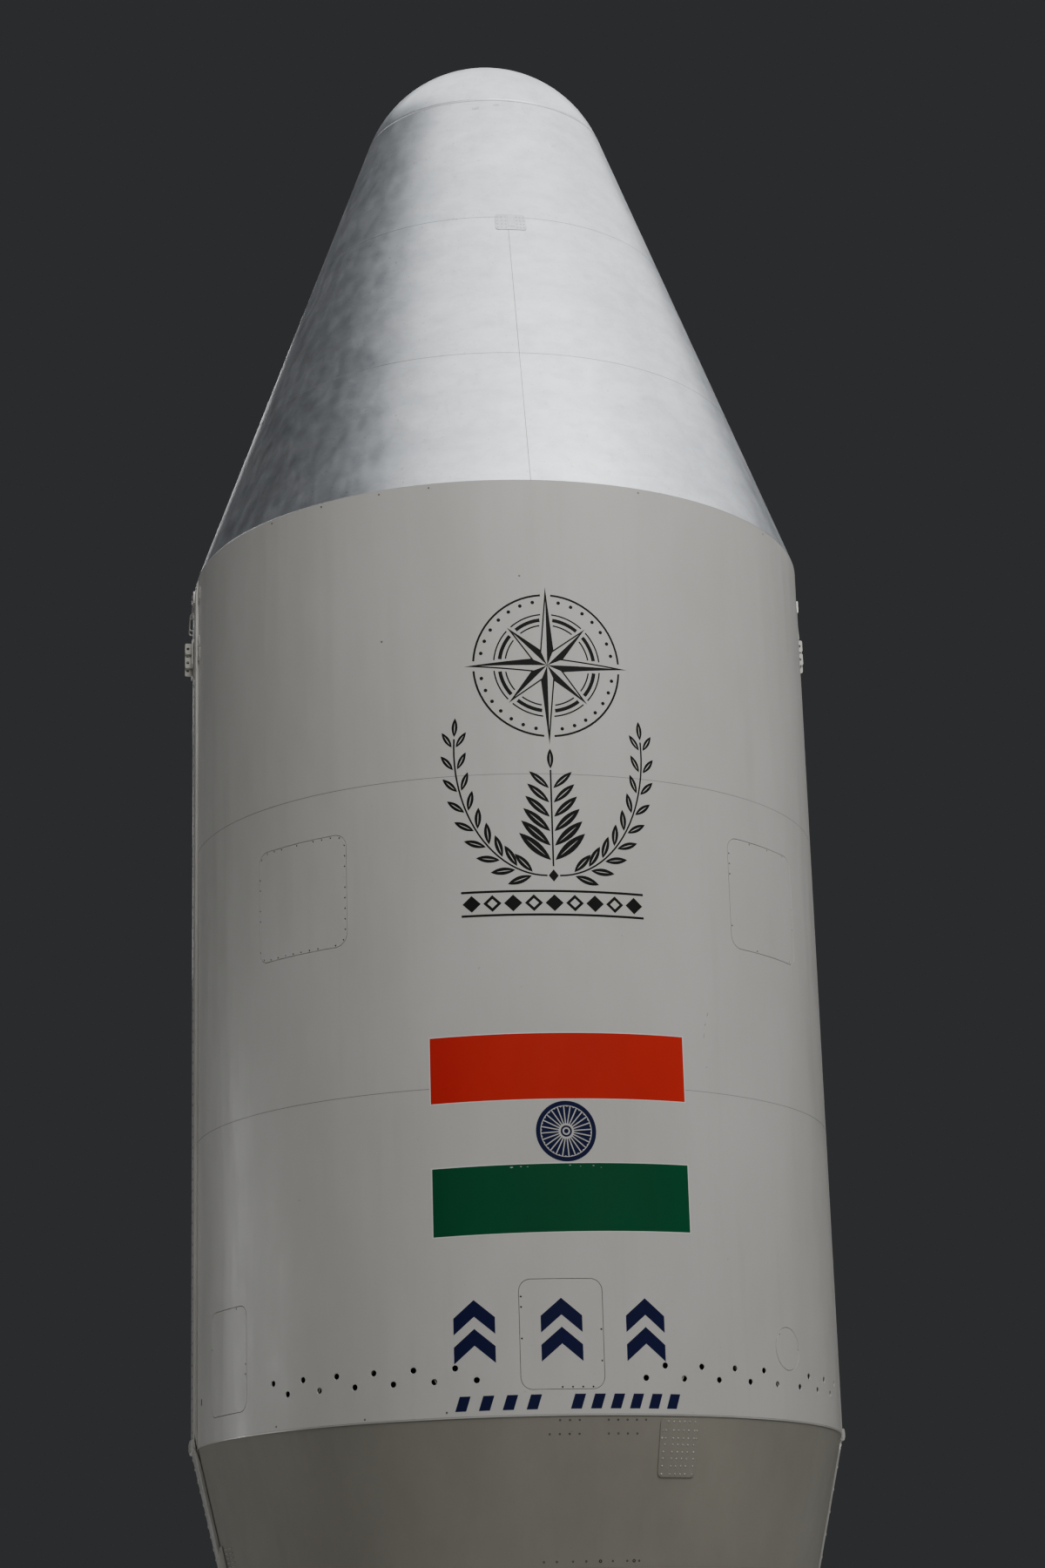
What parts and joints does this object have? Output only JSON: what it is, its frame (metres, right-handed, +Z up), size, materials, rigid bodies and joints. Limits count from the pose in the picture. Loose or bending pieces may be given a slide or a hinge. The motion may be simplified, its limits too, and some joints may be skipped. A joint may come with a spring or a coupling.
{
  "type": "payload fairing",
  "caption": "Payload fairing of a space launcher, standing on its skirt: two half shells that slide apart, with screwed access doors that lift off.",
  "frame": {"origin": "middle of the skirt's foot, on the floor", "axes": "+Z up towards the nose, -Y to the front where most doors are; the halves part at the plane y = 0"},
  "size_m": [3.32, 3.2, 8.8988],
  "materials": {
    "white_paint": "off-white semi-gloss paint, slightly weathered",
    "silver_paint": "mottled silver-grey paint",
    "tail_paint": "grey-beige satin paint",
    "rail_paint": "light grey satin paint",
    "bare_metal": "machined light alloy, dulled",
    "skirt_paint": "light grey satin paint",
    "deck_panel": "primed light alloy panel"
  },
  "bodies": {
    "skirt": {"skirt_foot_ring": "skirt_paint", "skirt_wall": "skirt_paint", "skirt_top_ring": "bare_metal", "payload_deck": "deck_panel"},
    "front_half": {"front_base_ring": "tail_paint", "front_boat_tail": "tail_paint", "front_lower_barrel": "white_paint", "front_middle_barrel": "white_paint", "front_upper_barrel": "white_paint", "front_lower_cone_left": "silver_paint", "front_lower_cone_right": "silver_paint", "front_middle_cone_left": "silver_paint", "front_middle_cone_right": "silver_paint", "front_upper_cone": "silver_paint", "front_nose_cap": "silver_paint", "front_left_rail": "rail_paint", "front_right_rail": "rail_paint", "front_left_lugs": "bare_metal", "front_right_lugs": "bare_metal", "front_tail_bracket": "bare_metal", "front_tail_doubler": "tail_paint", "front_seam_cover": "silver_paint"},
    "back_half": {"back_base_ring": "tail_paint", "back_boat_tail": "tail_paint", "back_lower_barrel": "white_paint", "back_middle_barrel": "white_paint", "back_upper_barrel": "white_paint", "back_lower_cone_left": "silver_paint", "back_lower_cone_right": "silver_paint", "back_middle_cone_left": "silver_paint", "back_middle_cone_right": "silver_paint", "back_upper_cone": "silver_paint", "back_nose_cap": "silver_paint", "back_left_rail": "rail_paint", "back_right_rail": "rail_paint", "back_left_lugs": "bare_metal", "back_right_lugs": "bare_metal", "back_tail_bracket": "bare_metal"},
    "front_upper_left_door": {"front_upper_left_door": "white_paint"},
    "front_upper_right_door": {"front_upper_right_door": "white_paint"},
    "front_lower_centre_door": {"front_lower_centre_door": "white_paint"},
    "front_lower_left_door": {"front_lower_left_door": "white_paint"},
    "front_round_hatch": {"front_round_hatch": "white_paint"},
    "back_upper_left_door": {"back_upper_left_door": "white_paint"},
    "back_upper_right_door": {"back_upper_right_door": "white_paint"},
    "back_lower_centre_door": {"back_lower_centre_door": "white_paint"}
  },
  "joints": [
    {"name": "front_half_slide", "type": "slide", "parent": "skirt", "child": "front_half", "axis": [0, -1, 0], "range_m": [0, 1.2]},
    {"name": "back_half_slide", "type": "slide", "parent": "skirt", "child": "back_half", "axis": [0, 1, 0], "range_m": [0, 1.2]},
    {"name": "front_upper_left_lift", "type": "slide", "parent": "front_half", "child": "front_upper_left_door", "axis": [-0.7145, -0.6997, 0], "range_m": [0, 0.3]},
    {"name": "front_upper_right_lift", "type": "slide", "parent": "front_half", "child": "front_upper_right_door", "axis": [0.7145, -0.6997, 0], "range_m": [0, 0.3]},
    {"name": "front_lower_centre_lift", "type": "slide", "parent": "front_half", "child": "front_lower_centre_door", "axis": [0, -1, 0], "range_m": [0, 0.3]},
    {"name": "front_lower_left_lift", "type": "slide", "parent": "front_half", "child": "front_lower_left_door", "axis": [-0.9191, -0.3939, 0], "range_m": [0, 0.3]},
    {"name": "front_hatch_lift", "type": "slide", "parent": "front_half", "child": "front_round_hatch", "axis": [0.7145, -0.6997, 0], "range_m": [0, 0.2]},
    {"name": "back_upper_left_lift", "type": "slide", "parent": "back_half", "child": "back_upper_left_door", "axis": [0.7145, 0.6997, 0], "range_m": [0, 0.3]},
    {"name": "back_upper_right_lift", "type": "slide", "parent": "back_half", "child": "back_upper_right_door", "axis": [-0.7145, 0.6997, 0], "range_m": [0, 0.3]},
    {"name": "back_lower_centre_lift", "type": "slide", "parent": "back_half", "child": "back_lower_centre_door", "axis": [0, 1, 0], "range_m": [0, 0.3]}
  ]
}
